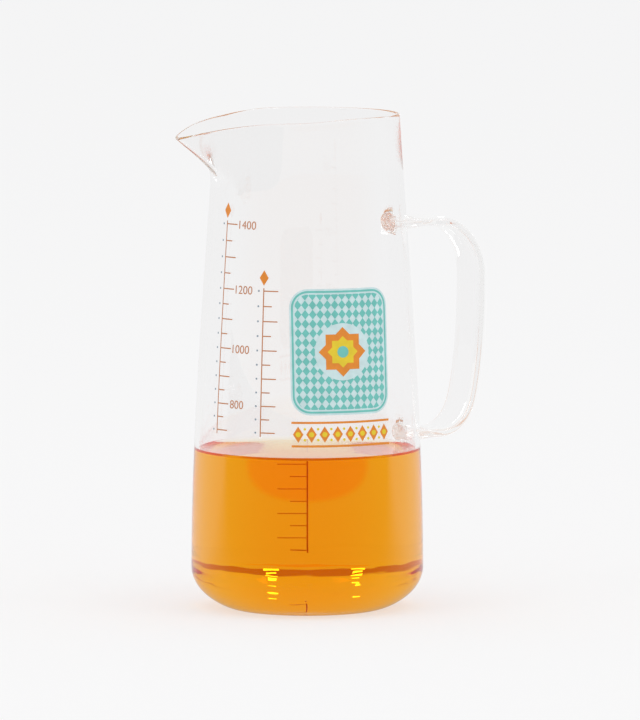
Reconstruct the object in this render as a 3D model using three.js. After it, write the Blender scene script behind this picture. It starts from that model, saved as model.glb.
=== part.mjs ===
// A clear glass jug: a blown, tapered body with a pulled pouring lip, a strap handle fused to the wall,
// enamel prints fired onto the outside, and a drink inside.
// Millimetres, +Z up. The origin is the centre of the underside, the handle points to +X, the lip to -X.

import * as THREE from 'three';
import { mergeVertices } from 'three/addons/utils/BufferGeometryUtils.js';

// Body
const HEIGHT = 234.5;            // standing plane to the rim
const BASE_RADIUS = 55;          // outer radius at the top of the heel
const RIM_RADIUS = 43.6;         // outer radius at the rim
const HEEL = 19;                 // rounding between the underside and the wall
const BELLY_TAPER = 0.2;         // how far the wall's lower control point lies inside the base radius
const SHOULDER_FLARE = 4.4;      // how far the wall's upper control point lies outside the rim radius
const WALL = 2.2;                // wall thickness
const FLOOR = 4;                 // thickness of the bottom

// Pouring lip, pulled out of the rim opposite the handle
const LIP_REACH = 27.3;          // tip beyond the rim radius
const LIP_DEPTH = 34.5;          // root of the lip's keel below the rim
const LIP_DROP = 8;              // tip below the rim beside it
const LIP_SAG = 1.7;             // broad sag of the rim all round the lip
const LIP_NOSE_ANGLE = 5;        // rounding of the tip, degrees about the jug's axis
const LIP_DROP_ANGLE = 14;       // how fast the drop fades away from the tip, degrees
const LIP_SAG_INNER = 45;        // the sag is full inside this angle, degrees
const LIP_SAG_OUTER = 95;        // the rim is level outside this angle, degrees
const LIP_EASE = 0.25;           // share of the lip's depth over which the wall bends out into it

// Handle, a strap bent in the XZ plane
const ARM_BELOW_RIM = 53.4;      // rim to the centre line of the upper arm
const HANDLE_SPAN = 101;         // upper arm to lower arm, centre lines
const GRIP_STANDOFF = 43;        // outer wall at the upper arm to the centre line of the grip
const GRIP_LEAN = 4.9;           // how far the grip leans in on its way down
const GRIP_END_SLOPE = 0.23;     // inward slope where the grip runs into the lower bend
const UPPER_BEND = [22.5, 26.6]; // width and height of the upper bend
const LOWER_BEND = [17.6, 16.7]; // width and height of the lower bend
const BEND_SWEEP = 0.55;         // share of a bend that its curve's handles take, near a round bend
const GRIP_EASE = 0.35;          // share of the grip's height that stays nearly upright
const STRAP_WIDTH = 22;          // across the strap, along Y
const STRAP_THICKNESS = 4.5;     // through the strap
const ROOT_HEIGHT = 11.5;        // height of each fused root on the wall
const ROOT_FLARE = 7;            // length over which the strap swells into its root
const SEAT_GAP = 0.3;            // clearance between fused or filled pieces and the body

// Drink
const DRINK_LEVEL = 76;          // surface above the standing plane

// Enamel prints, angles in degrees about the jug's axis
const PRINT_THICKNESS = 0.25;
const PANEL = { angle: 259, width: 50, height: 59, foot: 96.5, corner: 9 };
const BAND_HEIGHT = 12;
const BAND_BELOW_PANEL = 3;
const SCALE_LINE = 0.9;          // width of a scale's upright line and of its marks
const MARK_BLUNT = 0.06;         // height over which a mark widens out of the upright line
const LONG_MARK = 7;
const SHORT_MARK = 4;
const MARK_EVERY = 50;           // volume between two marks, millilitres
const LONG_MARK_EVERY = 100;     // volume between two long marks, millilitres
const SCALE_FOOT = 86;           // foot of the two front scales above the standing plane
const SCALE_BELOW_LIP = 14;      // head of the tall scale below the lip's root
const LOW_SCALE_ABOVE_HEEL = 3;  // foot of the low scale above the heel
const LOW_SCALE_HEIGHT = 49;

// Facets
const AROUND = 72;               // body facets round the axis
const LIP_CROWDING = 0.35;       // share by which the facets crowd towards the lip
const WALL_STEPS = 6;            // rows up the plain wall
const DRINK_AROUND = 48;         // drink facets round the axis
const DRINK_STEPS = 3;           // rows up the side of the drink
const LIP_STEPS = 8;             // rows through the lip
const ROUND_STEPS = 5;           // rows round the heel, and round the rim
const STRAP_STEPS = 9;           // rings along each stretch of the handle
const STRAP_SIDES = 16;          // points round the strap
const SEAT_STEPS = 4;            // rings on a root's end face
const STRAP_SQUARENESS = 4;      // exponent of the strap's rounded section
const PANEL_COLUMNS = 14;        // columns across the panel and the band
const FILL_STEP = 0.25;          // height of a layer when volumes are added up
const WELD = 1e-4;               // corners closer than this are one corner

const ARM_TOP = HEIGHT - ARM_BELOW_RIM;
const ARM_FOOT = ARM_TOP - HANDLE_SPAN;
const LIP_ROOT = HEIGHT - LIP_DEPTH;
const LIP_DIRECTION = Math.PI;
const LOW_SCALE_FOOT = HEEL + LOW_SCALE_ABOVE_HEEL;
const SCALES = [
  { name: 'scale_tall', angle: 187, foot: SCALE_FOOT, head: LIP_ROOT - SCALE_BELOW_LIP },
  { name: 'scale_mid', angle: 215.5, foot: SCALE_FOOT, head: PANEL.foot + PANEL.height },
  { name: 'scale_low', angle: 60, foot: LOW_SCALE_FOOT, head: LOW_SCALE_FOOT + LOW_SCALE_HEIGHT },
];

const radians = THREE.MathUtils.degToRad;
const clamp = THREE.MathUtils.clamp;
const lerp = THREE.MathUtils.lerp;

// Outer radius of the plain wall at a height above the heel: a cubic with evenly spaced control heights.
function wallRadius(z) {
  const s = (z - HEEL) / (HEIGHT - HEEL);
  const rest = 1 - s;
  const lower = BASE_RADIUS - BELLY_TAPER;
  const upper = RIM_RADIUS + SHOULDER_FLARE;
  return BASE_RADIUS * rest ** 3 + 3 * lower * rest ** 2 * s + 3 * upper * rest * s ** 2 + RIM_RADIUS * s ** 3;
}

// Angle from the lip's direction, rounded off at the tip so that the lip has a nose and not an edge.
function angleFromLip(angle) {
  const turn = Math.abs(Math.atan2(Math.sin(angle - LIP_DIRECTION), Math.cos(angle - LIP_DIRECTION)));
  const nose = radians(LIP_NOSE_ANGLE);
  return Math.hypot(turn, nose) - nose;
}

// Radius of the rim seen from above: straight flanks from the tip, tangent to the rim circle.
function rimPlan(away) {
  const tangent = Math.acos(RIM_RADIUS / (RIM_RADIUS + LIP_REACH));
  return away < tangent ? RIM_RADIUS / Math.cos(tangent - away) : RIM_RADIUS;
}

// How far the rim lies below its full height.
function rimDrop(away) {
  const fade = clamp((away - radians(LIP_SAG_INNER)) / radians(LIP_SAG_OUTER - LIP_SAG_INNER), 0, 1);
  const sag = LIP_SAG * 0.5 * (1 + Math.cos(Math.PI * fade));
  return sag + LIP_DROP * Math.exp(-away / radians(LIP_DROP_ANGLE));
}

// Rise from 0 at the lip's root to 1 at the rim: starts level, then runs nearly straight.
function easedRise(share) {
  return (share ** 2 * (1 + LIP_EASE)) / (share + LIP_EASE);
}

// Point of the outer wall, with the lip pulled out of it.
function wallPoint(angle, z) {
  const away = angleFromLip(angle);
  const rise = easedRise(clamp((z - LIP_ROOT) / LIP_DEPTH, 0, 1));
  const radius = wallRadius(z) + (rimPlan(away) - RIM_RADIUS) * rise;
  return new THREE.Vector3(radius * Math.cos(angle), radius * Math.sin(angle), z - rimDrop(away) * rise);
}

// Outward direction of the outer wall, from its slope both ways.
function wallNormal(angle, z) {
  const small = 1e-3;
  const along = wallPoint(angle + small, z).sub(wallPoint(angle - small, z));
  const up = wallPoint(angle, z + small).sub(wallPoint(angle, z - small));
  return along.cross(up).normalize();
}

// Points of a quarter or half round, without its first point.
function arc(centreR, centreZ, radius, from, to, steps) {
  return Array.from({ length: steps }, (_, i) => {
    const a = radians(lerp(from, to, (i + 1) / steps));
    return new THREE.Vector2(centreR + radius * Math.cos(a), centreZ + radius * Math.sin(a));
  });
}

// Evenly spaced heights, without the first one.
function heights(from, to, steps) {
  return Array.from({ length: steps }, (_, i) => lerp(from, to, (i + 1) / steps));
}

// Inside of the jug from the axis out and up to a height, at a clearance from the glass.
function insideProfile(top, clearance, steps) {
  const floor = FLOOR + clearance;
  const inset = WALL + clearance;
  const heel = HEEL - inset;
  const side = wallRadius(HEEL) - inset;
  const corner = arc(side - heel, floor + heel, heel, -90, 0, ROUND_STEPS);
  const wall = heights(floor + heel, top, steps).map((z) => new THREE.Vector2(wallRadius(z) - inset, z));
  return [new THREE.Vector2(0, floor), new THREE.Vector2(side - heel, floor), ...corner, ...wall];
}

// Outline of the body's glass, from the middle of the underside round the rim to the middle of the floor.
function bodyProfile() {
  const rimRound = WALL / 2;
  const rimBase = HEIGHT - rimRound;
  const heel = arc(BASE_RADIUS - HEEL, HEEL, HEEL, -90, 0, ROUND_STEPS);
  const wall = [...heights(HEEL, LIP_ROOT, WALL_STEPS), ...heights(LIP_ROOT, rimBase, LIP_STEPS)];
  const outside = wall.map((z) => new THREE.Vector2(wallRadius(z), z));
  const rim = arc(wallRadius(rimBase) - rimRound, rimBase, rimRound, 0, 180, ROUND_STEPS);
  const inside = insideProfile(LIP_ROOT, 0, WALL_STEPS).reverse();
  const insideLip = heights(rimBase, LIP_ROOT, LIP_STEPS).slice(0, -1);
  return [
    new THREE.Vector2(0, 0),
    new THREE.Vector2(BASE_RADIUS - HEEL, 0),
    ...heel,
    ...outside,
    ...rim,
    ...insideLip.map((z) => new THREE.Vector2(wallRadius(z) - WALL, z)),
    ...inside,
  ];
}

// Solid of revolution about Z from an outline that starts and ends on the axis.
function revolve(profile, segments) {
  const geometry = new THREE.LatheGeometry(profile, segments);
  geometry.rotateX(Math.PI / 2);
  return closed(geometry);
}

// One closed skin: shared corners merged, with only positions left to tell them apart.
function closed(geometry) {
  geometry.deleteAttribute('normal');
  geometry.deleteAttribute('uv');
  const skin = mergeVertices(geometry, WELD);
  skin.computeVertexNormals();
  return skin;
}

// The blown body: a revolved shell whose rim is then pulled out into the lip at an even wall thickness.
function bodyGeometry() {
  const geometry = revolve(bodyProfile(), AROUND);
  const position = geometry.attributes.position;
  const point = new THREE.Vector3();
  for (let i = 0; i < position.count; i += 1) {
    point.fromBufferAttribute(position, i);
    const radius = Math.hypot(point.x, point.y);
    const evenTurn = Math.atan2(point.y, point.x);
    const turn = evenTurn + LIP_CROWDING * Math.sin(evenTurn);
    if (point.z > LIP_ROOT) {
      const depth = wallRadius(point.z) - radius;
      point.copy(wallPoint(turn, point.z)).addScaledVector(wallNormal(turn, point.z), -depth);
    } else {
      point.set(radius * Math.cos(turn), radius * Math.sin(turn), point.z);
    }
    position.setXYZ(i, point.x, point.y, point.z);
  }
  geometry.computeVertexNormals();
  return geometry;
}

// Closed skin through rings of equally many points, with a fan over each end.
function loft(rings) {
  const sides = rings[0].length;
  const points = rings.flat();
  const triangles = [];
  for (let ring = 0; ring + 1 < rings.length; ring += 1) {
    for (let side = 0; side < sides; side += 1) {
      const next = (side + 1) % sides;
      const a = ring * sides + side;
      const b = ring * sides + next;
      triangles.push(a, b, a + sides, b, b + sides, a + sides);
    }
  }
  for (const [ring, flip] of [[0, true], [rings.length - 1, false]]) {
    const centre = new THREE.Vector3();
    rings[ring].forEach((p) => centre.addScaledVector(p, 1 / sides));
    const middle = points.push(centre) - 1;
    for (let side = 0; side < sides; side += 1) {
      const a = ring * sides + side;
      const b = ring * sides + ((side + 1) % sides);
      triangles.push(...(flip ? [b, a, middle] : [a, b, middle]));
    }
  }
  const geometry = new THREE.BufferGeometry().setFromPoints(points);
  geometry.setIndex(triangles);
  geometry.computeVertexNormals();
  return geometry;
}

// Centre line of the handle as points of radius and height, from the upper root to the lower one.
function handlePath() {
  const grip = wallRadius(ARM_TOP) + GRIP_STANDOFF;
  const gripFoot = grip - GRIP_LEAN;
  const gripTopZ = ARM_TOP - UPPER_BEND[1];
  const gripFootZ = ARM_FOOT + LOWER_BEND[1];
  const point = (r, z) => new THREE.Vector2(r, z);
  const upperRoot = point(wallRadius(ARM_TOP) + SEAT_GAP, ARM_TOP);
  const upperBend = point(grip - UPPER_BEND[0], ARM_TOP);
  const gripTop = point(grip, gripTopZ);
  const gripEnd = point(gripFoot, gripFootZ);
  const lowerBend = point(gripFoot - LOWER_BEND[0], ARM_FOOT);
  const lowerRoot = point(wallRadius(ARM_FOOT) + SEAT_GAP, ARM_FOOT);
  const rise = LOWER_BEND[1];
  const fall = BEND_SWEEP * LOWER_BEND[1];
  const path = new THREE.CurvePath();
  path.add(new THREE.LineCurve(upperRoot, upperBend));
  path.add(new THREE.CubicBezierCurve(
    upperBend,
    point(upperBend.x + BEND_SWEEP * UPPER_BEND[0], ARM_TOP),
    point(grip, gripTopZ + BEND_SWEEP * UPPER_BEND[1]),
    gripTop,
  ));
  path.add(new THREE.CubicBezierCurve(
    gripTop,
    point(grip, lerp(gripTopZ, gripFootZ, GRIP_EASE)),
    point(gripFoot + GRIP_END_SLOPE * rise, gripFootZ + rise),
    gripEnd,
  ));
  path.add(new THREE.CubicBezierCurve(
    gripEnd,
    point(gripFoot - GRIP_END_SLOPE * fall, gripFootZ - fall),
    point(lowerBend.x + BEND_SWEEP * LOWER_BEND[0], ARM_FOOT),
    lowerBend,
  ));
  path.add(new THREE.LineCurve(lowerBend, lowerRoot));
  return path;
}

// Places along the handle's centre line, evenly spread on each of its stretches.
function handleStations(path) {
  const steps = STRAP_STEPS;
  const stations = path.curves.flatMap((curve) => Array.from({ length: steps }, (_, i) => (
    { at: curve.getPoint(i / steps), along: curve.getTangent(i / steps) }
  )));
  const last = path.curves.at(-1);
  return [...stations, { at: last.getPoint(1), along: last.getTangent(1) }];
}

// The strap handle: a rounded section swept along the centre line, swelling into a root at each end.
function handleGeometry() {
  const path = handlePath();
  const length = path.getLength();
  const stations = handleStations(path);
  let travelled = 0;
  const rings = stations.slice(1, -1).map(({ at, along }, i) => {
    travelled += at.distanceTo(stations[i].at);
    const fromRoot = Math.min(travelled, length - travelled);
    const swell = (1 - clamp(fromRoot / ROOT_FLARE, 0, 1)) ** 2;
    return strapRing(at, along, lerp(STRAP_THICKNESS, ROOT_HEIGHT, swell));
  });
  return loft([...seatRings(stations[0]).reverse(), ...rings, ...seatRings(stations.at(-1))]);
}

// One ring of the strap, square to its centre line.
function strapRing(at, along, thickness) {
  const round = (v) => Math.sign(v) * Math.abs(v) ** (2 / STRAP_SQUARENESS);
  return Array.from({ length: STRAP_SIDES }, (_, side) => {
    const a = (2 * Math.PI * side) / STRAP_SIDES;
    const across = (STRAP_WIDTH / 2) * round(Math.cos(a));
    const through = (thickness / 2) * round(Math.sin(a));
    return new THREE.Vector3(at.x - along.y * through, across, at.y + along.x * through);
  });
}

// Rings of a root's end face, from its outline inwards, laid on the round wall at the seat's clearance.
function seatRings({ at, along }) {
  const outline = strapRing(at, along, ROOT_HEIGHT);
  return Array.from({ length: SEAT_STEPS }, (_, i) => {
    const share = 1 - i / SEAT_STEPS;
    return outline.map((point) => {
      const y = point.y * share;
      const z = lerp(at.y, point.z, share);
      return new THREE.Vector3(Math.sqrt((wallRadius(z) + SEAT_GAP) ** 2 - y ** 2), y, z);
    });
  });
}

// Enamel laid on the wall: rows of height with a left and a right edge, measured along the wall.
function printGeometry(angle, rows, columns) {
  const grid = (standoff) => rows.map(({ z, left, right }) => (
    Array.from({ length: columns + 1 }, (_, column) => {
      const radius = wallRadius(z) + standoff;
      const turn = radians(angle) + lerp(left, right, column / columns) / wallRadius(z);
      return new THREE.Vector3(radius * Math.cos(turn), radius * Math.sin(turn), z);
    })
  ));
  return shell(grid(SEAT_GAP + PRINT_THICKNESS), grid(SEAT_GAP));
}

// Closed skin between a front grid and a back grid of the same size.
function shell(front, back) {
  const rows = front.length;
  const columns = front[0].length;
  const points = [...front.flat(), ...back.flat()];
  const behind = rows * columns;
  const triangles = [];
  const quad = (a, b, c, d) => triangles.push(a, b, c, a, c, d);
  for (let row = 0; row + 1 < rows; row += 1) {
    for (let column = 0; column + 1 < columns; column += 1) {
      const a = row * columns + column;
      quad(a, a + 1, a + 1 + columns, a + columns);
      quad(behind + a, behind + a + columns, behind + a + 1 + columns, behind + a + 1);
    }
    const left = row * columns;
    const right = left + columns - 1;
    quad(left, left + columns, behind + left + columns, behind + left);
    quad(right, behind + right, behind + right + columns, right + columns);
  }
  const last = (rows - 1) * columns;
  for (let column = 0; column + 1 < columns; column += 1) {
    quad(column, behind + column, behind + column + 1, column + 1);
    quad(last + column, last + column + 1, behind + last + column + 1, behind + last + column);
  }
  const geometry = new THREE.BufferGeometry().setFromPoints(points);
  geometry.setIndex(triangles);
  geometry.computeVertexNormals();
  return geometry;
}

// Rows of an upright rectangle with rounded corners.
function panelRows() {
  const { width, height, foot, corner } = PANEL;
  const row = (z, inset) => ({ z, left: inset - width / 2, right: width / 2 - inset });
  const bend = Array.from({ length: ROUND_STEPS + 1 }, (_, i) => radians((90 * i) / ROUND_STEPS));
  const lower = bend.map((a) => row(foot + corner * (1 - Math.cos(a)), corner * (1 - Math.sin(a))));
  const upper = bend.map((a) => row(foot + height - corner * (1 - Math.sin(a)), corner * (1 - Math.cos(a))));
  const middle = heights(foot + corner, foot + height - corner, ROUND_STEPS).slice(0, -1);
  return [...lower, ...middle.map((z) => row(z, 0)), ...upper];
}

// Rows of the plain band under the panel.
function bandRows() {
  const top = PANEL.foot - BAND_BELOW_PANEL;
  return [top - BAND_HEIGHT, top - BAND_HEIGHT / 2, top].map((z) => (
    { z, left: -PANEL.width / 2, right: PANEL.width / 2 }
  ));
}

// Inner radius of the body at a height above its floor.
function insideRadius(z) {
  const heel = HEEL - WALL;
  const below = FLOOR + heel - z;
  const side = wallRadius(Math.max(z, HEEL)) - WALL;
  return below > 0 ? side - heel + Math.sqrt(heel ** 2 - below ** 2) : side;
}

// Height of the surface when the jug holds a volume in millilitres, added up in thin layers.
function fillHeight(millilitres) {
  const wanted = millilitres * 1000;
  let z = FLOOR;
  let volume = 0;
  while (volume < wanted) {
    volume += Math.PI * insideRadius(z + FILL_STEP / 2) ** 2 * FILL_STEP;
    z += FILL_STEP;
  }
  return z - (volume - wanted) / (Math.PI * insideRadius(z) ** 2);
}

// Volumes whose marks fit whole between the foot and the head of a scale.
function markVolumes({ foot, head }) {
  const room = SCALE_LINE;
  const volumes = [];
  for (let volume = MARK_EVERY; fillHeight(volume) + room < head; volume += MARK_EVERY) {
    if (fillHeight(volume) - room > foot) volumes.push(volume);
  }
  return volumes;
}

// Rows of a scale: an upright line from foot to head that widens to the right at each mark.
function scaleRows(scale) {
  const half = SCALE_LINE / 2;
  const line = (z) => ({ z, left: -half, right: half });
  const marks = markVolumes(scale).flatMap((volume) => {
    const z = fillHeight(volume);
    const reach = half + (volume % LONG_MARK_EVERY === 0 ? LONG_MARK : SHORT_MARK);
    const mark = (height) => ({ z: height, left: -half, right: reach });
    return [line(z - half - MARK_BLUNT), mark(z - half), mark(z + half), line(z + half + MARK_BLUNT)];
  });
  return [line(scale.foot), ...marks, line(scale.head)];
}

function piece(name, geometry, look) {
  const mesh = new THREE.Mesh(geometry, new THREE.MeshStandardMaterial(look));
  mesh.name = name;
  return mesh;
}

const GLASS = { color: 0xeef2f2, roughness: 0.03, metalness: 0, transparent: true, opacity: 0.3 };
const DRINK = { color: 0xf08a10, roughness: 0.05, metalness: 0, transparent: true, opacity: 0.85 };
const TEAL = { color: 0x6fc3c8, roughness: 0.4, metalness: 0 };
const ORANGE = { color: 0xd9822b, roughness: 0.4, metalness: 0 };
const COPPER = { color: 0xc07a4e, roughness: 0.4, metalness: 0 };

const drinkProfile = [...insideProfile(DRINK_LEVEL, SEAT_GAP, DRINK_STEPS), new THREE.Vector2(0, DRINK_LEVEL)];

const jug = new THREE.Group();
jug.add(piece('glass_body', bodyGeometry(), GLASS));
jug.add(piece('glass_handle', handleGeometry(), GLASS));
jug.add(piece('drink', revolve(drinkProfile, DRINK_AROUND), DRINK));
jug.add(piece('print_panel', printGeometry(PANEL.angle, panelRows(), PANEL_COLUMNS), TEAL));
jug.add(piece('print_band', printGeometry(PANEL.angle, bandRows(), PANEL_COLUMNS), ORANGE));
SCALES.forEach((scale) => {
  jug.add(piece(scale.name, printGeometry(scale.angle, scaleRows(scale), 1), COPPER));
});

export default jug;
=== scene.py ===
import math
from collections import namedtuple

import bmesh
import bpy
import numpy as np
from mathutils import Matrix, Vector


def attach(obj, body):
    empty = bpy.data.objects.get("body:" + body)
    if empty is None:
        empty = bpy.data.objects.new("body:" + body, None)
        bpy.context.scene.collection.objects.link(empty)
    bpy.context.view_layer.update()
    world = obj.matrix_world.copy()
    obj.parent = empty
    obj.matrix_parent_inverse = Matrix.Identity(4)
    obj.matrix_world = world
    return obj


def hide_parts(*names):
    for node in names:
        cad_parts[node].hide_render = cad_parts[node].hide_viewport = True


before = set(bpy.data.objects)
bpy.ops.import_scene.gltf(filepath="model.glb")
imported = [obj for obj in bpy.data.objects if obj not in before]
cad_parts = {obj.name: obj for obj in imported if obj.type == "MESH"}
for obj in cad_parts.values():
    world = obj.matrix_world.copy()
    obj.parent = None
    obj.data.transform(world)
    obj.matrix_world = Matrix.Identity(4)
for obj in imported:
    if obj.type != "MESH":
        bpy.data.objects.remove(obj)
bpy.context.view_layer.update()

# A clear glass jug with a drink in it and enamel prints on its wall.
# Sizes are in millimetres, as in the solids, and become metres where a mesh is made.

MM = 0.001

# Body
HEIGHT = 234.5
BASE_RADIUS = 55
RIM_RADIUS = 43.6
HEEL = 19                        # rounding between the underside and the wall
HEEL_CUT = 1.5                   # how far the heel lies inside a round one where it is flattest
HEEL_CUT_POWER = 1.4             # over 1, that place lies in the heel's lower half
BELLY_TAPER = 0.2                # how far the wall's lower control point lies inside the base radius
SHOULDER_FLARE = 4.4             # how far its upper control point lies outside the rim radius
WALL = 2.2
RIM_WALL = 1.3                   # the wall thins towards the fire-polished rim
RIM_THINNING = 28                # height over which it thins
FLOOR = 4

# Pouring lip
LIP_REACH = 27.3                 # how far the tip lies outside the rim circle
LIP_DEPTH = 34.5                 # height of wall that is pulled out into the lip
LIP_DROP = 8                     # how far the tip lies below the rim
LIP_SAG = 1.7                    # how far the rim sags on the lip's side
LIP_NOSE_ANGLE = math.radians(5)
LIP_DROP_ANGLE = math.radians(14)
LIP_SAG_INNER = math.radians(45)
LIP_SAG_OUTER = math.radians(95)
LIP_EASE = 0.25                  # share of the lip's depth over which the wall bends out into it
LIP_ROOT = HEIGHT - LIP_DEPTH
LIP_DIRECTION = math.pi

# Handle
ARM_BELOW_RIM = 53.4
ARM_SPAN = 101                   # height between the two arms
ARM_TOP = HEIGHT - ARM_BELOW_RIM
ARM_FOOT = ARM_TOP - ARM_SPAN
GRIP_STANDOFF = 43               # outer wall at the upper arm to the centre line of the grip
GRIP_LEAN = 4.9                  # how much closer to the axis the grip ends below
GRIP_END_SLOPE = 0.23
GRIP_EASE = 0.35                 # share of the grip that starts straight down
UPPER_BEND = (22.5, 26.6)        # width and height of a bend
LOWER_BEND = (17.6, 16.7)
BEND_SWEEP = 0.55                # roundness of the bends
STRAP_WIDTH = 22
STRAP_THICKNESS = 4.5
STRAP_SQUARENESS = 4
ROOT_WIDTH = 12.5
ROOT_SQUARENESS = 2.1
ROOT_FLARE = 2.6                 # how far the glass is drawn out round a root
ROOT_FLARE_POWER = 1.4           # how quickly that flare ends
ROOT_LENGTH = 12.0               # length of that flare along the arm
ROOT_SINK = 1.1                  # how far a root reaches into the wall that it is fused to
ROOT_EASE = 14                   # length over which the arm takes the wall's roundness

# Drink
WET_LINE = 76.3                  # height to which the drink climbs the wall
MENISCUS_RISE = 2.2
MENISCUS_WIDTH = 2.2
MENISCUS_ROWS = (0.15, 0.4, 0.8, 1.3, 2, 3, 4.5, 7, 12, 22, 36, 48)  # rows of the surface, in from the wall
DRINK_LEVEL = WET_LINE - MENISCUS_RISE
WETTING = 0.12                   # how far the drink's skin lies inside the glass that it wets

# Enamel prints: angles about the axis, places to the right along the wall and up
PANEL_ANGLE = math.radians(259)
PANEL_WIDTH = 50
PANEL_HEIGHT = 59
PANEL_FOOT = 96.5
PANEL_CORNER = 9
PANEL_TOP = PANEL_FOOT + PANEL_HEIGHT
PANEL_MIDDLE = PANEL_FOOT + PANEL_HEIGHT / 2
BORDER_GAP = 0.9                 # edge of the panel to its ruled border
BORDER_LINE = 0.9
FIELD_INSET = 2.6                # edge of the panel to its field of lozenges
LOZENGE = (3.5, 4.4)             # width and height of a lozenge of the field
MEDALLION_RADIUS = 13.4
STAR_RADII = (11.6, 7.4)
STAR_POINTS = 8
STAR_EYE = 2.7
BAND_HEIGHT = 12
BAND_TOP = PANEL_FOOT - 3
BAND_RULE = 1.0
BAND_LOZENGES = 8
BAND_LOZENGE = (5.0, 7.6)
BAND_DOT = 0.62
LONG_MARK = 7
SHORT_MARK = 4
MARK_EVERY = 50                  # millilitres
LONG_MARK_EVERY = 100
NUMERAL_EVERY = 200
NUMERAL_HEIGHT = 3.9
NUMERAL_SHARE = 0.7              # height of a numeral in a font of size 1
NUMERAL_GAP = 1.2
SCALE_DOT = 0.5
SCALE_DOT_PLACE = -2.6
HEAD_LOZENGE = (4.6, 7.2)
HEAD_LOZENGE_GAP = 1.2
FILL_STEP = 0.25                 # layers of drink that the marks are counted in
MILLILITRE = 1000                # cubic millimetres
FRONT_FOOT = 86                  # where the scales on the front start
FRONT_LINE = 0.55                # width of their lines
BACK_LINE = 0.36
Scale = namedtuple("Scale", "name angle foot head line ink numbered dressed")
SCALES = (
    Scale("scale_tall", math.radians(187), FRONT_FOOT, LIP_ROOT - 14, FRONT_LINE, "copper", True, True),
    Scale("scale_mid", math.radians(215.5), FRONT_FOOT, PANEL_TOP, FRONT_LINE, "copper", False, True),
    Scale("scale_low", math.radians(60), HEEL + 3, HEEL + 52, BACK_LINE, "pale_copper", False, False),
)
PRINT_SINK = 0.02                # enamel fired into the glass
PRINT_COAT = 0.06                # thickness of one coat above the glass
PRINT_CELL = 3.0                 # largest flat patch of a print
PRINT_EDGE = math.radians(40)    # sharper edges than this aren't smoothed

# Enamel colours, and the cloudiness and tooth of a screen print
ENAMELS = {
    "base": (0.93, 0.94, 0.92),
    "white": (0.62, 0.80, 0.82),
    "teal": (0.16, 0.57, 0.52),
    "orange": (0.80, 0.26, 0.02),
    "yellow": (0.82, 0.62, 0.02),
    "copper": (0.56, 0.22, 0.09),
    "pale_copper": (0.80, 0.42, 0.19),
    "grey": (0.30, 0.37, 0.44),
}
CLOUD_SCALE = 260                # clouds per metre
CLOUD_DETAIL = 4
CLOUD_TONES = ((0.3, 0.88), (0.7, 1))      # places on the ramp and shares of the colour there
TOOTH_SCALE = 5200               # grains per metre
TOOTH_STRENGTH = 0.12
TOOTH_DEPTH = 0.04
ENAMEL_ROUGHNESS = (0.34, 0.5)

# Optics
AIR_INDEX = 1.0
GLASS_INDEX = 1.47
DRINK_INDEX = 1.34
GLASS_TINT = (0.62, 0.64, 0.58, 1)
GLASS_DENSITY = 0.8              # per metre
DRINK_TINT = (0.99, 0.80, 0.0, 1)
DRINK_DENSITY = 53.0             # per metre
BOUNCES = 1024                   # rim and handle lead light a long way

# Unevenness of the glass, in the heel
WAVER_LENGTH = 16.0
WAVER_DRAWN = (1, 1, 3.5)        # it is drawn out round the jug
WAVER_DEPTH = 0.25
WAVER_HEIGHTS = (HEEL / 2, HEEL * 2)       # between these it fades out upwards

# Fineness
AROUND = 256
LIP_CROWDING = 0.62              # rings have their points closest together at the lip
FLAT_ROWS = 7
HEEL_ROWS = 28
WALL_ROWS = 36
LIP_ROWS = 32
RIM_ROWS = 14
INNER_HEEL_ROWS = 24
DRY_ROWS = 24
WET_ROWS = 12
STRAP_SIDES = 96
BEND_ROWS = 72
ROOT_ROWS = 24
ROOT_CROWDING = 1.5              # over 1, a root's rows are closest together at the wall
ARM_ROWS = 9
CORNER_POINTS = 9
DISC_POINTS = 40
EYE_POINTS = 20
DOT_POINTS = 16
FIRST_CAP = -2
LAST_CAP = -1

# Camera, at the photograph's viewing angle
CAMERA_TURN = math.radians(240)
TOWARDS_CAMERA = (math.cos(CAMERA_TURN), math.sin(CAMERA_TURN), 0)
CAMERA_DISTANCE = 4.2
CAMERA_HEIGHT = 0.5298
CAMERA_AIM = 0.1174
CAMERA_LENS = 445.9
SENSOR_WIDTH = 36
CAMERA_REACH = 200
PICTURE_SIDE = 720
PICTURE_SHIFT = 12.7             # pixels that the jug stands left of the middle

# Studio, in metres
FLOOR_SIDE = 120
FLOOR_COLOUR = (0.35, 0.35, 0.3515, 1)
FLOOR_GLOW = 1.6                 # the table's own brightness beside that of the light on it
THROUGH_COLOUR = (0.334, 0.333, 0.334, 1)  # the table as the glass shows it
# Painted shade in reflections: the table in front is darkened only where the glass mirrors it
MIRRORED_SHADE_COLOUR = (0.055, 0.04, 0.025, 1)  # the table in front, as the glass mirrors it
MIRRORED_SHADE_FROM = (-0.12, 0.12)    # in front of the jug
# Painted pool of the drink's orange light and shadow on the table behind, seen only through the drink
PAINTED_POOL_COLOUR = (0.346, 0.258, 0.169, 1)     # light that the drink throws on the table behind
PAINTED_POOL_PLACE = 0.53                # behind the jug
PAINTED_POOL_SIZE = (0.125, 0.13)        # half its width and depth
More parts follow.
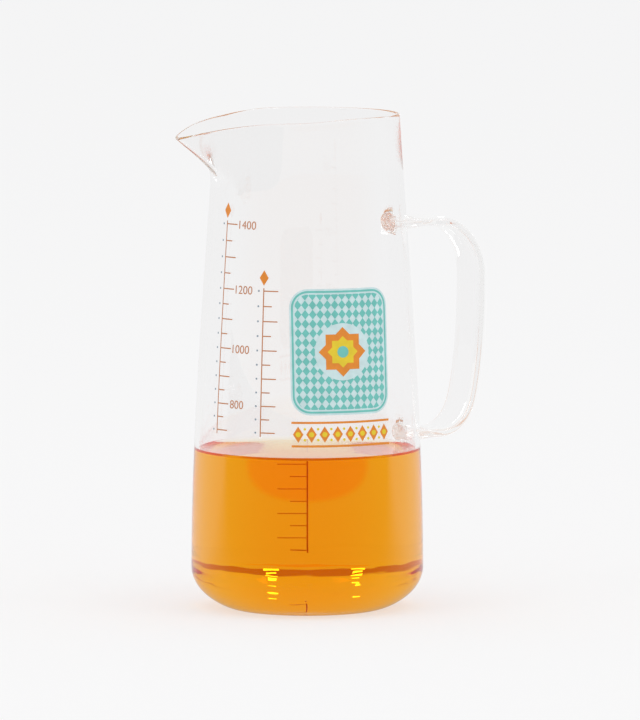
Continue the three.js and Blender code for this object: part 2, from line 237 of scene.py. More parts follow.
# Painted shade on the table right under the jug, tinted orange by the drink and seen only through it
PAINTED_UNDER_SHADE_COLOUR = (0.29, 0.145, 0.075, 1)     # the table right under the drink
PAINTED_UNDER_SHADE_SIZE = (0.046, 0.046)
PAINTED_POOL_EDGE = (1.1, 0.9)
DRINK_DEPTH = 4.5                # fewer surfaces are passed beside the drink, more through it
WHITE = (1, 1, 1, 1)
BACKDROP_LEVEL = 0.93
FILL_LEVEL = 1.0
FRONT_COLOUR = (0.92, 0.68, 0.56, 1)       # the room on the photographer's side
FRONT_FACING = (-0.15, 0.75)
HORIZON_COLOUR = (0.66, 0.36, 0.27, 1)
HORIZON_TOP = (math.radians(3.5), math.radians(5.5))
Lamp = namedtuple("Lamp", "distance width height watts")
LAMP_TURNS = (math.radians(62), math.radians(-50))
LAMP_ELEVATION = math.radians(58)
SOFT_BOX = Lamp(3.0, 0.6, 0.6, 5.0)
CATCH_LIGHT = Lamp(3.0, 0.22, 0.22, 9.0)
WINDOW_TURNS = (math.radians(171), math.radians(-167))
SLATS = (                        # elevation and width of each slat of a bright window
    (math.radians(0.6), 0.36),
    (math.radians(2.6), 0.24),
    (math.radians(4.6), 0.30),
    (math.radians(8.0), 0.20),
)
SLAT_DISTANCE = 5.0
SLAT_HEIGHT = 0.10
SLAT_GLOW = 11.0                 # watts per square metre


# Shape of the wall

def wall_radius(z):
    """Outer radius of the plain wall at a height: a cubic with evenly spaced control heights."""
    s = (z - HEEL) / (HEIGHT - HEEL)
    rest = 1 - s
    lower = BASE_RADIUS - BELLY_TAPER
    upper = RIM_RADIUS + SHOULDER_FLARE
    return BASE_RADIUS * rest**3 + 3 * lower * rest**2 * s + 3 * upper * rest * s**2 + RIM_RADIUS * s**3


def angle_from_lip(angle):
    """Angle from the lip's direction, rounded off at the tip."""
    turn = np.abs(np.arctan2(np.sin(angle - LIP_DIRECTION), np.cos(angle - LIP_DIRECTION)))
    return np.hypot(turn, LIP_NOSE_ANGLE) - LIP_NOSE_ANGLE


def rim_plan(away):
    """Radius of the rim from above: straight flanks from the tip, tangent to the rim circle."""
    tangent = math.acos(RIM_RADIUS / (RIM_RADIUS + LIP_REACH))
    return RIM_RADIUS / np.cos(np.maximum(tangent - away, 0))


def rim_drop(away):
    """How far the rim lies below its full height."""
    fade = np.clip((away - LIP_SAG_INNER) / (LIP_SAG_OUTER - LIP_SAG_INNER), 0, 1)
    sag = LIP_SAG * 0.5 * (1 + np.cos(math.pi * fade))
    return sag + LIP_DROP * np.exp(-away / LIP_DROP_ANGLE)


def wall_point(angle, z):
    """Points of the outer wall, with the lip pulled out of it."""
    away = angle_from_lip(angle)
    share = np.clip((z - LIP_ROOT) / LIP_DEPTH, 0, 1)
    rise = share**2 * (1 + LIP_EASE) / (share + LIP_EASE)
    radius = wall_radius(z) + (rim_plan(away) - RIM_RADIUS) * rise
    return np.stack([radius * np.cos(angle), radius * np.sin(angle), z - rim_drop(away) * rise], -1)


def wall_normal(angle, z):
    """Outward directions of the outer wall, from its slope both ways."""
    small = 1e-3
    along = wall_point(angle + small, z) - wall_point(angle - small, z)
    up = wall_point(angle, z + small) - wall_point(angle, z - small)
    normal = np.cross(along, up)
    return normal / np.linalg.norm(normal, axis=-1, keepdims=True)


# Meshes

def link_object(name, mesh):
    """A new object of the scene."""
    made = bpy.data.objects.new(name, mesh)
    bpy.context.scene.collection.objects.link(made)
    return made


def new_object(name, points, faces, materials):
    """Mesh object from points in millimetres, smooth all over."""
    mesh = bpy.data.meshes.new(name)
    mesh.from_pydata((np.asarray(points) * MM).tolist(), [], faces)
    mesh.validate()
    for material in materials:
        mesh.materials.append(material)
    mesh.polygons.foreach_set("use_smooth", [True] * len(mesh.polygons))
    return link_object(name, mesh)


def skin(rings):
    """Points and faces of a skin through rings of equally many points, with a cap over each end."""
    sides = len(rings[0])
    points = np.concatenate(rings)
    faces = []
    for ring in range(len(rings) - 1):
        for side in range(sides):
            a = ring * sides + side
            b = ring * sides + (side + 1) % sides
            faces.append((a, b, b + sides, a + sides))
    last = (len(rings) - 1) * sides
    faces.append(tuple(reversed(range(sides))))
    faces.append(tuple(range(last, last + sides)))
    return points, faces


def round_ring(turn, radius, z):
    """Points of a level ring at the given angles."""
    return np.stack([radius * np.cos(turn), radius * np.sin(turn), np.full(len(turn), float(z))], -1)


def mark_faces(made, first_row, end_row, cap):
    """Puts the faces of some rows of a skin, and one of its caps, in the second slot."""
    slots = np.zeros(len(made.data.polygons), dtype=np.int32)
    slots[first_row * AROUND:end_row * AROUND] = 1
    slots[cap] = 1
    made.data.polygons.foreach_set("material_index", slots)


def set_index(made, plain, marked):
    """Gives each face its refractive index, the marked one on faces of the second slot.

    All faces then go in one slot, because light is followed through a volume by its one material.
    """
    faces = made.data.polygons
    slots = np.zeros(len(faces), dtype=np.int32)
    faces.foreach_get("material_index", slots)
    values = np.where(slots == 1, marked, plain).astype(np.float32)
    attribute = made.data.attributes.new("index", "FLOAT", "FACE")
    attribute.data.foreach_set("value", values)
    faces.foreach_set("material_index", np.zeros(len(faces), dtype=np.int32))
    while len(made.data.materials) > 1:
        made.data.materials.pop()


def finish_mesh(made):
    """Faces outwards, flat caps cut into triangles."""
    work = bmesh.new()
    work.from_mesh(made.data)
    many = [face for face in work.faces if len(face.verts) > 4]
    bmesh.ops.triangulate(work, faces=many)
    bmesh.ops.recalc_face_normals(work, faces=work.faces)
    work.to_mesh(made.data)
    work.free()
    return made


# Body

def evenly(start, end, steps):
    """Evenly spaced values, without the first one."""
    return np.linspace(start, end, steps + 1)[1:]


def arc(centre_r, centre_z, radius, start, end, steps):
    """Points of a round stretch of an outline, without its first point; angles in degrees."""
    angles = np.radians(evenly(start, end, steps))
    return [(centre_r + radius * math.cos(a), centre_z + radius * math.sin(a)) for a in angles]


def inside_outline(clearance):
    """Inside of the jug from near the axis out and up to the wet line, at a clearance from the glass."""
    floor = FLOOR + clearance
    inset = WALL + clearance
    heel = HEEL - inset
    side = wall_radius(HEEL) - inset
    flat = [(r, floor) for r in evenly(0, side - heel, FLAT_ROWS)]
    corner = arc(side - heel, floor + heel, heel, -90, 0, INNER_HEEL_ROWS)
    wall = [(wall_radius(z) - inset, z) for z in evenly(floor + heel, WET_LINE, WET_ROWS)]
    return flat + corner + wall


def heel_outline():
    """The rounded heel from the underside up to the wall, a little flattened in its lower half."""
    share = evenly(0, 1, HEEL_ROWS)
    turn = np.radians(90) * (share - 1)
    radius = HEEL - HEEL_CUT * np.sin(math.pi * (1 - share) ** HEEL_CUT_POWER)
    return [(BASE_RADIUS - HEEL + r * math.cos(a), HEEL + r * math.sin(a)) for r, a in zip(radius, turn)]


def thinned_wall(z):
    """Thickness of the wall at a height near the rim."""
    below = np.clip((HEIGHT - RIM_WALL / 2 - z) / RIM_THINNING, 0, 1)
    return RIM_WALL + (WALL - RIM_WALL) * below**2 * (3 - 2 * below)


def body_outline():
    """Outline of the body's glass, from beside the axis on the underside round the rim to the floor."""
    rim_round = RIM_WALL / 2
    rim_base = HEIGHT - rim_round
    under = [(r, 0) for r in evenly(0, BASE_RADIUS - HEEL, FLAT_ROWS)]
    wall = np.concatenate([evenly(HEEL, LIP_ROOT, WALL_ROWS), evenly(LIP_ROOT, rim_base, LIP_ROWS)])
    outside = [(wall_radius(z), z) for z in wall]
    rim = arc(wall_radius(rim_base) - rim_round, rim_base, rim_round, 0, 180, RIM_ROWS)
    lip = [(wall_radius(z) - thinned_wall(z), z) for z in evenly(rim_base, LIP_ROOT, LIP_ROWS)]
    dry = [(wall_radius(z) - WALL, z) for z in evenly(LIP_ROOT, WET_LINE, DRY_ROWS)]
    wet = list(reversed(inside_outline(0)))[1:]
    return under + heel_outline() + outside + rim + lip + dry + wet, len(wet)


def body_ring(radius, z):
    """One ring of the body, pulled out with the lip where it lies above the lip's root."""
    even = np.linspace(0, 2 * math.pi, AROUND, endpoint=False)
    turn = even + LIP_CROWDING * np.sin(even)
    if z <= LIP_ROOT:
        return round_ring(turn, radius, z)
    depth = wall_radius(z) - radius
    return wall_point(turn, z) - depth * wall_normal(turn, z)


def make_body(glass):
    """The blown shell. Its inside below the drink's surface is marked as wetted by the second slot."""
    outline, wet_rows = body_outline()
    points, faces = skin([body_ring(r, z) for r, z in outline])
    body = new_object("jug_glass", points, faces, [glass, glass])
    rows = len(outline) - 1
    mark_faces(body, rows - wet_rows, rows, LAST_CAP)
    return finish_mesh(body)


# Handle

def bezier(p0, p1, p2, p3, t):
    """Points of a cubic at the places t."""
    t = np.asarray(t)[:, None]
    return (1 - t) ** 3 * p0 + 3 * (1 - t) ** 2 * t * p1 + 3 * (1 - t) * t**2 * p2 + t**3 * p3


def grip_path():
    """Centre line of the handle between its two straight arms, as points of radius and height."""
    grip = wall_radius(ARM_TOP) + GRIP_STANDOFF
    foot = grip - GRIP_LEAN
    top_z = ARM_TOP - UPPER_BEND[1]
    foot_z = ARM_FOOT + LOWER_BEND[1]
    rise = LOWER_BEND[1]
    fall = BEND_SWEEP * LOWER_BEND[1]
    upper = np.array([grip - UPPER_BEND[0], ARM_TOP])
    grip_top = np.array([grip, top_z])
    grip_end = np.array([foot, foot_z])
    lower = np.array([foot - LOWER_BEND[0], ARM_FOOT])
    eased = top_z + (foot_z - top_z) * GRIP_EASE
    across, down = BEND_SWEEP * UPPER_BEND[0], BEND_SWEEP * UPPER_BEND[1]
    curves = [
        (upper, upper + (across, 0), grip_top + (0, down), grip_top),
        (grip_top, np.array([grip, eased]), grip_end + (GRIP_END_SLOPE * rise, rise), grip_end),
        (grip_end, grip_end - (GRIP_END_SLOPE * fall, fall), lower + (BEND_SWEEP * LOWER_BEND[0], 0), lower),
    ]
    steps = np.linspace(0, 1, BEND_ROWS + 1)
    pieces = [bezier(*curve, steps if i == 0 else steps[1:]) for i, curve in enumerate(curves)]
    return np.concatenate(pieces)


def section(width, thickness, squareness):
    """Offsets across and through the strap round its rounded section."""
    a = np.linspace(0, 2 * math.pi, STRAP_SIDES, endpoint=False)
    power = 2 / squareness
    across = width / 2 * np.sign(np.cos(a)) * np.abs(np.cos(a)) ** power
    through = thickness / 2 * np.sign(np.sin(a)) * np.abs(np.sin(a)) ** power
    return across, through


def arm_ring(arm_z, distance, flip):
    """Ring of a straight arm at a distance from the wall, drawn up into its root near the wall."""
    drawn = ROOT_FLARE * np.clip(1 - max(distance, 0) / ROOT_LENGTH, 0, 1) ** ROOT_FLARE_POWER
    near = (1 - np.clip(distance / ROOT_EASE, 0, 1)) ** 2
    width = STRAP_WIDTH + (ROOT_WIDTH - STRAP_WIDTH) * near + drawn
    squareness = STRAP_SQUARENESS + (ROOT_SQUARENESS - STRAP_SQUARENESS) * near
    y, through = section(width, STRAP_THICKNESS + 2 * drawn, squareness)
    z = arm_z + through * flip
    flat = wall_radius(arm_z) + distance
    laid = np.sqrt((wall_radius(z) + distance) ** 2 - y**2)
    return np.stack([flat + (laid - flat) * near, y, z], -1)


def arm_distances(length):
    """Distances of an arm's rings from the wall, closest together in the root."""
    sunk = [-ROOT_SINK, -ROOT_SINK / 2]
    root = ROOT_LENGTH * np.linspace(0, 1, ROOT_ROWS) ** ROOT_CROWDING
    return np.concatenate([sunk, root, evenly(ROOT_LENGTH, length, ARM_ROWS)[:-1]])


def make_handle(glass):
    """The strap handle, both roots sunk into the wall."""
    path = grip_path()
    along = np.gradient(path, axis=0)
    along /= np.linalg.norm(along, axis=1, keepdims=True)
    across, through = section(STRAP_WIDTH, STRAP_THICKNESS, STRAP_SQUARENESS)
    grip = [
        np.stack([at[0] - way[1] * through, across, at[1] + way[0] * through], -1)
        for at, way in zip(path, along)
    ]
    upper = arm_distances(path[0][0] - wall_radius(ARM_TOP))
    lower = arm_distances(path[-1][0] - wall_radius(ARM_FOOT))
    rings = [arm_ring(ARM_TOP, d, 1) for d in upper]
    rings += grip
    rings += [arm_ring(ARM_FOOT, d, -1) for d in reversed(lower)]
    points, faces = skin(rings)
    return finish_mesh(new_object("handle_glass", points, faces, [glass]))


def fuse(body, handle):
    """Joins the handle to the body as one mass of glass."""
    join = body.modifiers.new("fuse", "BOOLEAN")
    join.operation = "UNION"
    join.solver = "EXACT"
    join.object = handle
    shaped = body.evaluated_get(bpy.context.evaluated_depsgraph_get())
    mesh = bpy.data.meshes.new_from_object(shaped)
    body.modifiers.clear()
    body.data = mesh
    bpy.data.objects.remove(handle)
    return finish_mesh(body)


# Drink

def make_drink(liquid):
    """The drink: its skin lies a little inside the glass, and its surface climbs the wall."""
    outline = inside_outline(-WETTING)
    side = wall_radius(WET_LINE) - WALL
    top = [(side - d, DRINK_LEVEL + MENISCUS_RISE * math.exp(-d / MENISCUS_WIDTH)) for d in MENISCUS_ROWS]
    turn = np.linspace(0, 2 * math.pi, AROUND, endpoint=False)
    points, faces = skin([round_ring(turn, r, z) for r, z in outline + [(side, WET_LINE)] + top])
    drink = new_object("drink_fill", points, faces, [liquid, liquid])
    mark_faces(drink, 0, len(outline) - 1, FIRST_CAP)
    return finish_mesh(drink)


# Materials

def feed(tree, socket, value):
    """Links a node's socket to another socket, or sets it to a plain value."""
    if isinstance(value, bpy.types.NodeSocket):
        tree.links.new(value, socket)
    else:
        socket.default_value = value


def add_node(tree, kind, inputs, operation=None):
    """Outputs of a new node, whose inputs are linked or set by name or number."""
    node = tree.nodes.new("ShaderNode" + kind)
    if operation:
        node.operation = operation
    for key, value in inputs.items():
        feed(tree, node.inputs[key], value)
    return node.outputs


def principled(name):
    """A new node material with its Principled shader and its output."""
    material = bpy.data.materials.new(name)
    material.use_nodes = True
    nodes = material.node_tree.nodes
    return material, nodes["Principled BSDF"], nodes["Material Output"]


def clear_material(name, index, tint, density):
    """A clear body that absorbs light, whose faces each have the refractive index of what they part."""
    material, shader, output = principled(name)
    tree = material.node_tree
    shader.inputs["Base Color"].default_value = WHITE
    shader.inputs["Roughness"].default_value = 0.0
    shader.inputs["IOR"].default_value = index
    shader.inputs["Transmission Weight"].default_value = 1.0
    by_face = tree.nodes.new("ShaderNodeAttribute")
    by_face.attribute_name = "index"
    feed(tree, shader.inputs["IOR"], by_face.outputs["Fac"])
    volume = add_node(tree, "VolumeAbsorption", {"Color": tint, "Density": density})
    feed(tree, output.inputs["Volume"], volume["Volume"])
    return material, shader


def waver(material, shader):
    """The slight unevenness of worked glass: it runs around the jug in the heel and fades out above."""
    tree = material.node_tree
    place = add_node(tree, "TexCoord", {})["Object"]
    drawn = add_node(tree, "VectorMath", {0: place, 1: WAVER_DRAWN}, "MULTIPLY")["Vector"]
    waves = {"Vector": drawn, "Scale": 1 / (WAVER_LENGTH * MM), "Detail": 1}
    low, high = WAVER_HEIGHTS
    fading = {
        "Value": add_node(tree, "SeparateXYZ", {"Vector": place})["Z"],
        "From Min": low * MM,
        "From Max": high * MM,
        "To Min": 1.0,
        "To Max": 0.0,
    }
    bump = {
        "Strength": add_node(tree, "MapRange", fading)["Result"],
        "Distance": WAVER_DEPTH * MM,
        "Height": add_node(tree, "TexNoise", waves)["Fac"],
    }
    feed(tree, shader.inputs["Normal"], add_node(tree, "Bump", bump)["Normal"])


def enamel(name, colour):
    """Fired enamel: an even colour with the slight cloudiness and tooth of a screen print."""
    material, shader, _ = principled(name)
    tree = material.node_tree
    place = add_node(tree, "TexCoord", {})["Object"]
    clouds = {"Vector": place, "Scale": CLOUD_SCALE, "Detail": CLOUD_DETAIL}
    tone = tree.nodes.new("ShaderNodeValToRGB")
    for stop, (position, share) in zip(tone.color_ramp.elements, CLOUD_TONES):
        stop.position = position
        stop.color = (*(share * c for c in colour), 1)
    feed(tree, tone.inputs["Fac"], add_node(tree, "TexNoise", clouds)["Fac"])
    feed(tree, shader.inputs["Base Color"], tone.outputs["Color"])
    tooth = add_node(tree, "TexNoise", {"Vector": place, "Scale": TOOTH_SCALE})["Fac"]
    smooth, dull = ENAMEL_ROUGHNESS
    rough = add_node(tree, "MapRange", {"Value": tooth, "To Min": smooth, "To Max": dull})["Result"]
    feed(tree, shader.inputs["Roughness"], rough)
    bump = {"Strength": TOOTH_STRENGTH, "Distance": TOOTH_DEPTH * MM, "Height": tooth}
    feed(tree, shader.inputs["Normal"], add_node(tree, "Bump", bump)["Normal"])
    return material


# Prints

def cut_at_cells(work):
    """Cuts flat shapes along a grid of lines, so that they can follow the round wall."""
    for axis in (0, 2):
        places = [vert.co[axis] for vert in work.verts]
        first = math.floor(min(places) / PRINT_CELL) + 1
        last = math.ceil(max(places) / PRINT_CELL)
        normal = Vector((axis == 0, 0, axis == 2))
        for cell in range(first, last):
            everything = work.verts[:] + work.edges[:] + work.faces[:]
            place = normal * cell * PRINT_CELL
            bmesh.ops.bisect_plane(work, geom=everything, plane_co=place, plane_no=normal)


def lay_print(name, shapes, angle, coat, material):
    """Lays flat shapes on the wall as a thin coat of enamel; coat counts the coats from the glass."""
    work = bmesh.new()
    for shape in shapes:
        work.faces.new([work.verts.new((x, 0, z)) for x, z in shape])
    work.normal_update()
    bmesh.ops.triangulate(work, faces=work.faces)
    cut_at_cells(work)
    front = bmesh.ops.extrude_face_region(work, geom=work.faces[:])["geom"]
    for part in front:
        if isinstance(part, bmesh.types.BMVert):
            part.co.y = 1
    low = PRINT_COAT * coat - PRINT_SINK
    high = PRINT_COAT * (coat + 1)
    for vert in work.verts:
        x, side, z = vert.co
        turn = angle + x / wall_radius(z)
        radius = wall_radius(z) + (high if side > 0.5 else low)
        vert.co = Vector((radius * math.cos(turn), radius * math.sin(turn), z)) * MM
    bmesh.ops.recalc_face_normals(work, faces=work.faces)
    mesh = bpy.data.meshes.new(name)
    work.to_mesh(mesh)
    work.free()
    mesh.materials.append(material)
    mesh.polygons.foreach_set("use_smooth", [True] * len(mesh.polygons))
    mesh.set_sharp_from_angle(angle=PRINT_EDGE)
    made = link_object(name, mesh)
    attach(made, "root")
    return made


def rounded_rectangle(inset):
    """Outline of the panel, drawn in by an inset."""
    corner = PANEL_CORNER - inset
    half_width = PANEL_WIDTH / 2 - PANEL_CORNER
    half_height = PANEL_HEIGHT / 2 - PANEL_CORNER
    points = []
    for quarter, (side, up) in enumerate(((1, 1), (-1, 1), (-1, -1), (1, -1))):
        for a in np.radians(np.linspace(0, 90, CORNER_POINTS) + 90 * quarter):
            points.append((
                side * half_width + corner * math.cos(a),
                PANEL_MIDDLE + up * half_height + corner * math.sin(a),
            ))
    return points


def between(outer, inner):
    """Four-cornered shapes that fill the strip between two outlines of equally many points."""
    count = len(outer)
    return [
        (outer[i], outer[(i + 1) % count], inner[(i + 1) % count], inner[i])
        for i in range(count)
    ]


def inside_of(point, start, end):
    """Positive where a point lies left of the line from start to end."""
    return (end[0] - start[0]) * (point[1] - start[1]) - (end[1] - start[1]) * (point[0] - start[0])


def clipped(shape, outline):
    """The part of a shape inside a convex outline that runs anticlockwise."""
    for i, start in enumerate(outline):
        end = outline[(i + 1) % len(outline)]
        kept = []
        for j, point in enumerate(shape):
            before = shape[j - 1]
            depth = inside_of(point, start, end)
            depth_before = inside_of(before, start, end)
            if depth * depth_before < 0:
                share = depth_before / (depth_before - depth)
                kept.append(tuple(b + (p - b) * share for b, p in zip(before, point)))
            if depth >= 0:
                kept.append(point)
        shape = kept
    return shape


def lozenge(x, z, width, height):
    """An upright lozenge."""
    return [(x + width / 2, z), (x, z + height / 2), (x - width / 2, z), (x, z - height / 2)]


def disc(x, z, radius, corners):
    """A round shape."""
    turns = np.linspace(0, 2 * math.pi, corners, endpoint=False)
    return [(x + radius * math.cos(a), z + radius * math.sin(a)) for a in turns]


def star(x, z, radius):
    """An eight-pointed star of two squares."""
    half = math.pi / STAR_POINTS
    valley = radius * math.cos(2 * half) / math.cos(half)
    reaches = (radius, valley) * STAR_POINTS
    return [(x + r * math.cos(i * half), z + r * math.sin(i * half)) for i, r in enumerate(reaches)]


def rectangle(left, right, low, high):
    """An upright rectangle."""
    return [(left, low), (right, low), (right, high), (left, high)]


def field_lozenges():
    """Lozenges of the panel's field, clipped at its edge."""
    outline = rounded_rectangle(FIELD_INSET)
    columns = math.ceil(PANEL_WIDTH / 2 / LOZENGE[0])
    rows = math.ceil(PANEL_HEIGHT / 2 / LOZENGE[1])
    whole = [
        lozenge(column * LOZENGE[0], PANEL_MIDDLE + row * LOZENGE[1], *LOZENGE)
        for column in range(-columns, columns + 1)
        for row in range(-rows, rows + 1)
    ]
    cut = [clipped(shape, outline) for shape in whole]
    return [shape for shape in cut if len(shape) > 2]


def make_panel(inks):
    """The front panel: a base coat, a ruled border, a field of lozenges and a star in a medallion."""
    middle = (0, PANEL_MIDDLE)
    whole = [rounded_rectangle(0)]
    border = between(rounded_rectangle(BORDER_GAP), rounded_rectangle(BORDER_GAP + BORDER_LINE))
    medallion = [disc(*middle, MEDALLION_RADIUS, DISC_POINTS)]
    eye = [disc(*middle, STAR_EYE, DISC_POINTS)]
    outer_star, inner_star = ([star(*middle, radius)] for radius in STAR_RADII)
    lay_print("panel_base", whole, PANEL_ANGLE, 0, inks["base"])
    ground = lay_print("panel_ground", whole, PANEL_ANGLE, 1, inks["white"])
    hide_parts("print_panel")
    lay_print("panel_border", border, PANEL_ANGLE, 2, inks["teal"])
    lay_print("panel_field", field_lozenges(), PANEL_ANGLE, 2, inks["teal"])
    lay_print("medallion_ground", medallion, PANEL_ANGLE, 3, inks["white"])
    lay_print("medallion_eye", eye, PANEL_ANGLE, 6, inks["teal"])
    lay_print("medallion_star", outer_star, PANEL_ANGLE, 4, inks["orange"])
    lay_print("medallion_inner_star", inner_star, PANEL_ANGLE, 5, inks["yellow"])


def make_band(inks):
    """The band under the panel: lozenges and dots between two rules."""
    foot = BAND_TOP - BAND_HEIGHT
    middle = BAND_TOP - BAND_HEIGHT / 2
    half = PANEL_WIDTH / 2
    pitch = PANEL_WIDTH / BAND_LOZENGES
    places = [(i + 0.5) * pitch - half for i in range(BAND_LOZENGES)]
    shapes = [rectangle(-half, half, z, z + BAND_RULE) for z in (foot, BAND_TOP - BAND_RULE)]
    shapes += [lozenge(x, middle, *BAND_LOZENGE) for x in places]
    band = lay_print("band_print", shapes, PANEL_ANGLE, 0, inks["orange"])
    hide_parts("print_band")
    eyes = [disc(x, middle, 2 * BAND_DOT, EYE_POINTS) for x in places]
    lay_print("band_eyes", eyes, PANEL_ANGLE, 1, inks["yellow"])
    gaps = [x + pitch / 2 for x in places[:-1]]
    lift = BAND_LOZENGE[1] / 3
    dots = [disc(x, middle + up, BAND_DOT, DOT_POINTS) for x in gaps for up in (-lift, lift)]
    lay_print("band_dots", dots, PANEL_ANGLE, 0, inks["yellow"])


def inside_radius(z):
    """Inner radius of the body at a height above its floor."""
    heel = HEEL - WALL
    below = FLOOR + heel - z
    side = wall_radius(max(z, HEEL)) - WALL
    return side - heel + math.sqrt(heel**2 - below**2) if below > 0 else side


def fill_heights(top):
    """Heights of the drink's surface at each step of the scales, up to a height."""
    found = {}
    z = FLOOR
    volume = 0.0
    wanted = MARK_EVERY
    while z < top:
        layer = math.pi * inside_radius(z + FILL_STEP / 2) ** 2 * FILL_STEP / MILLILITRE
        if volume + layer > wanted:
            found[wanted] = z + FILL_STEP * (wanted - volume) / layer
            wanted += MARK_EVERY
        volume += layer
        z += FILL_STEP
    return found


def numeral_shapes(label, left, middle):
    """Flat shapes of a plain numeral that starts at a place to the right and is centred at a height."""
    font = bpy.data.curves.new("numeral", "FONT")
    font.body = label
    font.size = NUMERAL_HEIGHT / NUMERAL_SHARE
    writing = link_object("numeral", font)
    shaped = writing.evaluated_get(bpy.context.evaluated_depsgraph_get())
    mesh = bpy.data.meshes.new_from_object(shaped)
    low = min(vert.co.y for vert in mesh.vertices)
    high = max(vert.co.y for vert in mesh.vertices)
    start = min(vert.co.x for vert in mesh.vertices)
    shapes = [
        [(left + mesh.vertices[i].co.x - start, middle + mesh.vertices[i].co.y - (low + high) / 2)
         for i in face.vertices]
        for face in mesh.polygons
    ]
    bpy.data.objects.remove(writing)
    bpy.data.meshes.remove(mesh)
    bpy.data.curves.remove(font)
    return shapes


def scale_outline(scale, marks):
    """Outline of a scale: an upright line that widens to the right at each mark."""
    half = scale.line / 2
    right = [(half, scale.foot)]
    for volume, z in marks:
        reach = half + (LONG_MARK if volume % LONG_MARK_EVERY == 0 else SHORT_MARK)
        right += [(half, z - half), (reach, z - half), (reach, z + half), (half, z + half)]
    return [(-half, scale.foot), *right, (half, scale.head), (-half, scale.head)]


def make_scale(scale, inks):
    """One scale with its marks, its numerals and, on the front, its dots and its head."""
    low = scale.foot + scale.line
    high = scale.head - scale.line
    marks = [(volume, z) for volume, z in fill_heights(scale.head).items() if low < z < high]
    ink = inks[scale.ink]
    lines = lay_print(scale.name + "_lines", [scale_outline(scale, marks)], scale.angle, 0, ink)
    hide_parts(scale.name)
    if scale.numbered:
        place = scale.line / 2 + LONG_MARK + NUMERAL_GAP
        shapes = []
        for volume, z in marks:
            if volume % NUMERAL_EVERY == 0:
                shapes += numeral_shapes(str(volume), place, z)
        lay_print(scale.name + "_numerals", shapes, scale.angle, 0, ink)
    if scale.dressed:
        dots = [disc(SCALE_DOT_PLACE, z, SCALE_DOT, DOT_POINTS) for _, z in marks]
        lay_print(scale.name + "_dots", dots, scale.angle, 0, inks["grey"])
        top = lozenge(0, scale.head + HEAD_LOZENGE_GAP + HEAD_LOZENGE[1] / 2, *HEAD_LOZENGE)
        lay_print(scale.name + "_head", [top], scale.angle, 0, inks["orange"])


# Camera and studio

def make_camera():
    """A long lens a few metres away, as the photograph's flat perspective asks."""
    data = bpy.data.cameras.new("camera")
    data.lens = CAMERA_LENS
    data.sensor_width = SENSOR_WIDTH
    data.shift_x = PICTURE_SHIFT / PICTURE_SIDE
    data.clip_end = CAMERA_REACH
    camera = link_object("camera", data)
    camera.location = (
        CAMERA_DISTANCE * TOWARDS_CAMERA[0],
        CAMERA_DISTANCE * TOWARDS_CAMERA[1],
        CAMERA_HEIGHT,
    )
    aim = Vector((0, 0, CAMERA_AIM)) - camera.location
    camera.rotation_mode = "QUATERNION"
    camera.rotation_quaternion = aim.to_track_quat("-Z", "Y")
    bpy.context.scene.camera = camera


def mixed(tree, share, first, second):
    """Colour that goes from the first to the second with a share."""
    node = tree.nodes.new("ShaderNodeMix")
    node.data_type = "RGBA"
    feed(tree, node.inputs["Factor"], share)
    feed(tree, node.inputs["A"], first)
    feed(tree, node.inputs["B"], second)
    return node.outputs["Result"]


def combined(tree, operation, first, second):
    """Result of a plain operation on two numbers."""
    return add_node(tree, "Math", {0: first, 1: second}, operation)["Value"]


def ramped(tree, value, ends):
    """Share that rises smoothly from 0 to 1 as a value goes from one end to the other."""
    node = tree.nodes.new("ShaderNodeMapRange")
    node.interpolation_type = "SMOOTHSTEP"
    for name, end in zip(("From Min", "From Max"), ends):
        node.inputs[name].default_value = end
    feed(tree, node.inputs["Value"], value)
    return node.outputs["Result"]


def along_view(tree, vector):
    """How far a place or direction lies towards the photographer."""
    return add_node(tree, "VectorMath", {0: vector, 1: TOWARDS_CAMERA}, "DOT_PRODUCT")["Value"]


def light_pool(tree, place, depth, distance, size):
    """Share of a painted pool of the drink's light and shade in an oval on the table behind or under the
    jug, seen only through the drink.
    """
    turned = tree.nodes.new("ShaderNodeMapping")
    turned.vector_type = "TEXTURE"
    turned.inputs["Location"].default_value = [-distance * side for side in TOWARDS_CAMERA]
    turned.inputs["Rotation"].default_value = (0, 0, CAMERA_TURN + math.radians(90))
    turned.inputs["Scale"].default_value = (*size, 1)
    feed(tree, turned.inputs["Vector"], place)
    away = add_node(tree, "VectorMath", {0: turned.outputs["Vector"]}, "LENGTH")["Value"]
    through = combined(tree, "GREATER_THAN", depth, DRINK_DEPTH)
    return combined(tree, "MULTIPLY", through, ramped(tree, away, PAINTED_POOL_EDGE))


def table_colour(tree):
    """The table's colour: plain to the eye, with painted shade in front where the glass mirrors it, and
    painted pools of the drink's light and shade behind and under the jug, seen through the drink.
    """
    path = add_node(tree, "LightPath", {})
    place = add_node(tree, "NewGeometry", {})["Position"]
    depth = path["Transmission Depth"]
    seen = mixed(tree, path["Is Camera Ray"], THROUGH_COLOUR, FLOOR_COLOUR)
    # Painted shade in reflections: the table in front turns dark only where the glass mirrors it
    only_mirrored = combined(tree, "SUBTRACT", path["Is Glossy Ray"], path["Is Transmission Ray"])
    front = ramped(tree, along_view(tree, place), MIRRORED_SHADE_FROM)
    seen = mixed(tree, combined(tree, "MULTIPLY", only_mirrored, front), seen, MIRRORED_SHADE_COLOUR)
    # Painted pool of the drink's light and shadow on the table behind the jug
    seen = mixed(tree, light_pool(tree, place, depth, PAINTED_POOL_PLACE, PAINTED_POOL_SIZE), seen, PAINTED_POOL_COLOUR)
    # Painted shade on the table under the jug
    return mixed(tree, light_pool(tree, place, depth, 0, PAINTED_UNDER_SHADE_SIZE), seen, PAINTED_UNDER_SHADE_COLOUR)


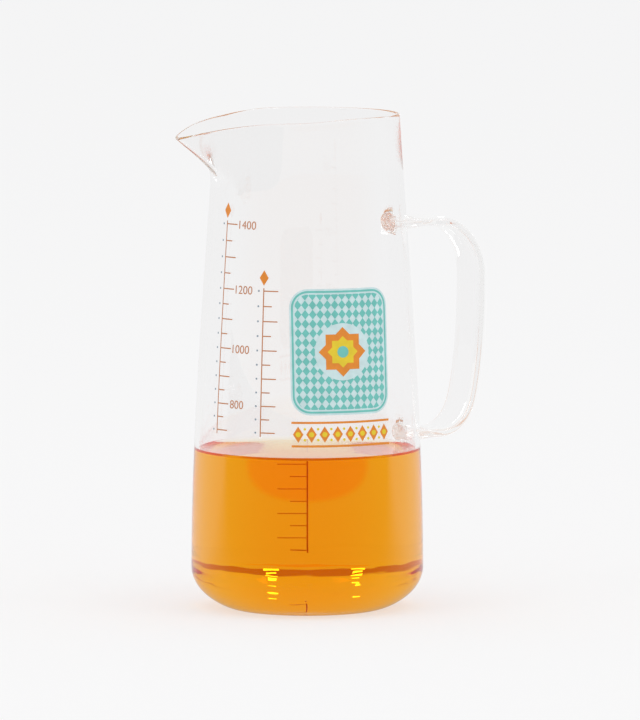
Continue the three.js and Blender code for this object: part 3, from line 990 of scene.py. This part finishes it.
def make_floor():
    """A plain pale table without edges."""
    bpy.ops.mesh.primitive_plane_add(size=FLOOR_SIDE)
    floor = bpy.context.object
    floor.name = "floor"
    material, shader, _ = principled("pale_table")
    tree = material.node_tree
    colour = table_colour(tree)
    feed(tree, shader.inputs["Base Color"], colour)
    feed(tree, shader.inputs["Emission Color"], colour)
    shader.inputs["Emission Strength"].default_value = FLOOR_GLOW
    shader.inputs["Roughness"].default_value = 1.0
    shader.inputs["Specular IOR Level"].default_value = 0.0
    floor.data.materials.append(material)


def make_world():
    """A bright room. The glass shows its warm side behind the photographer, the drink its warm horizon."""
    world = bpy.data.worlds.new("studio")
    bpy.context.scene.world = world
    world.use_nodes = True
    tree = world.node_tree
    background = tree.nodes["Background"]
    path = add_node(tree, "LightPath", {})
    way = add_node(tree, "TexCoord", {})["Generated"]
    front = ramped(tree, along_view(tree, way), FRONT_FACING)
    room = mixed(tree, front, WHITE, FRONT_COLOUR)
    above = ramped(tree, add_node(tree, "SeparateXYZ", {"Vector": way})["Z"], HORIZON_TOP)
    beside = combined(tree, "LESS_THAN", path["Transmission Depth"], DRINK_DEPTH)
    room = mixed(tree, combined(tree, "MAXIMUM", above, beside), HORIZON_COLOUR, room)
    plain = combined(tree, "MAXIMUM", path["Is Camera Ray"], path["Is Diffuse Ray"])
    feed(tree, background.inputs["Color"], mixed(tree, plain, room, WHITE))
    extra = combined(tree, "MULTIPLY", path["Is Diffuse Ray"], FILL_LEVEL - BACKDROP_LEVEL)
    feed(tree, background.inputs["Strength"], combined(tree, "ADD", extra, BACKDROP_LEVEL))


def make_lamp(name, turn, elevation, kind):
    """A flat lamp turned towards the jug."""
    data = bpy.data.lights.new(name, "AREA")
    data.energy = kind.watts
    data.shape = "RECTANGLE"
    data.size = kind.width
    data.size_y = kind.height
    lamp = link_object(name, data)
    lamp.location = kind.distance * Vector((
        math.cos(elevation) * math.cos(CAMERA_TURN + turn),
        math.cos(elevation) * math.sin(CAMERA_TURN + turn),
        math.sin(elevation),
    ))
    lamp.rotation_mode = "QUATERNION"
    lamp.rotation_quaternion = (-lamp.location).to_track_quat("-Z", "Y")
    lamp.visible_camera = False
    return lamp


def make_lamps():
    """Soft boxes that light the scene, and small lamps that only glint in the glass."""
    for side, turn in enumerate(LAMP_TURNS):
        make_lamp(f"soft_box_{side}", turn, LAMP_ELEVATION, SOFT_BOX)
        make_lamp(f"catch_light_{side}", turn, LAMP_ELEVATION, CATCH_LIGHT).visible_diffuse = False
    for side, turn in enumerate(WINDOW_TURNS):
        for slat, (elevation, width) in enumerate(SLATS):
            kind = Lamp(SLAT_DISTANCE, width, SLAT_HEIGHT, SLAT_GLOW * width * SLAT_HEIGHT)
            make_lamp(f"slat_{side}_{slat}", turn, elevation, kind).visible_diffuse = False


make_camera()
make_floor()
make_world()
make_lamps()

glass, glass_shader = clear_material("clear_glass", GLASS_INDEX, GLASS_TINT, GLASS_DENSITY)
waver(glass, glass_shader)
jug = fuse(make_body(glass), make_handle(glass))
set_index(jug, GLASS_INDEX, GLASS_INDEX / DRINK_INDEX)
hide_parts("glass_body", "glass_handle")
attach(jug, "root")

liquid, _ = clear_material("amber_drink", DRINK_INDEX, DRINK_TINT, DRINK_DENSITY)
drink = make_drink(liquid)
set_index(drink, DRINK_INDEX, AIR_INDEX)
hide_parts("drink")
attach(drink, "root")

inks = {name: enamel(name + "_enamel", colour) for name, colour in ENAMELS.items()}
make_panel(inks)
make_band(inks)
for scale in SCALES:
    make_scale(scale, inks)

# The glass stays sharp for indirect light too, so that the backs of the prints get their light
scene = bpy.context.scene
scene.view_settings.view_transform = "Standard"
scene.cycles.blur_glossy = 0.0
scene.cycles.max_bounces = BOUNCES
scene.cycles.glossy_bounces = BOUNCES
scene.cycles.transmission_bounces = BOUNCES
